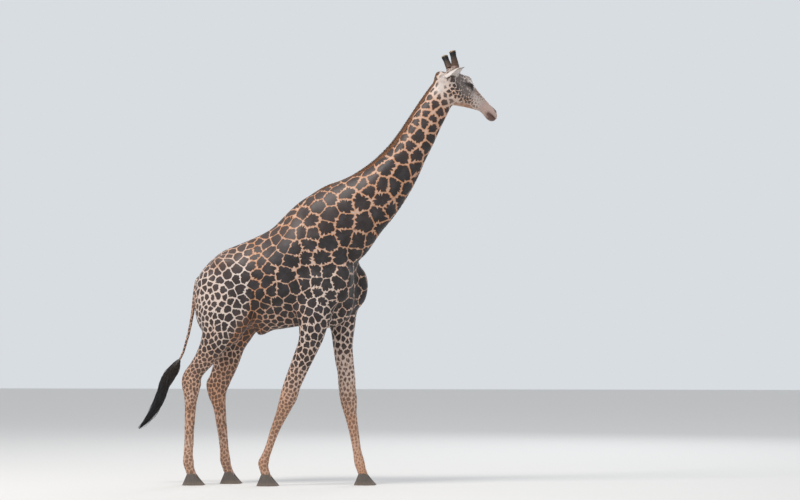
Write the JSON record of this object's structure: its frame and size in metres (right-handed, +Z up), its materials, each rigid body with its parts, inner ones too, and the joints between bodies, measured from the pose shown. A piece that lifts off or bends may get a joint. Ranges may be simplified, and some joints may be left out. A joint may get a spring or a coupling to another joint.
{
  "type": "giraffe",
  "caption": "Life-size still giraffe bull in mid-stride, head forward and tail swung back, standing free on its own hooves.",
  "frame": {"origin": "on the floor, at the middle of the outline's box seen from above", "axes": "+X the way the giraffe faces, +Y its left side, +Z up"},
  "size_m": [4.007, 0.7552, 4.7909],
  "materials": {
    "hide": "short patterned hair, matte",
    "horn": "short hair over bone, worn bare at the tip",
    "hoof": "matt horn",
    "eye": "wet gloss",
    "hair": "stiff upright hair",
    "tail_hair": "long coarse hair"
  },
  "bodies": {
    "root": {"trunk": "hide", "neck_lower": "hide", "neck_upper": "hide", "head": "hide", "foreleg_right_upper": "hide", "foreleg_right_lower": "hide", "foreleg_left_upper": "hide", "foreleg_left_lower": "hide", "hindleg_right_upper": "hide", "hindleg_right_lower": "hide", "hindleg_left_upper": "hide", "hindleg_left_lower": "hide", "ear_right": "hide", "ear_left": "hide", "tail": "hide", "ossicone_right": "horn", "ossicone_left": "horn", "eye_right": "eye", "eye_left": "eye", "mane": "hair", "tail_tuft": "tail_hair", "hoof_fore_right_outer": "hoof", "hoof_fore_right_inner": "hoof", "hoof_fore_left_outer": "hoof", "hoof_fore_left_inner": "hoof", "hoof_hind_right_outer": "hoof", "hoof_hind_right_inner": "hoof", "hoof_hind_left_outer": "hoof", "hoof_hind_left_inner": "hoof"}
  },
  "joints": []
}
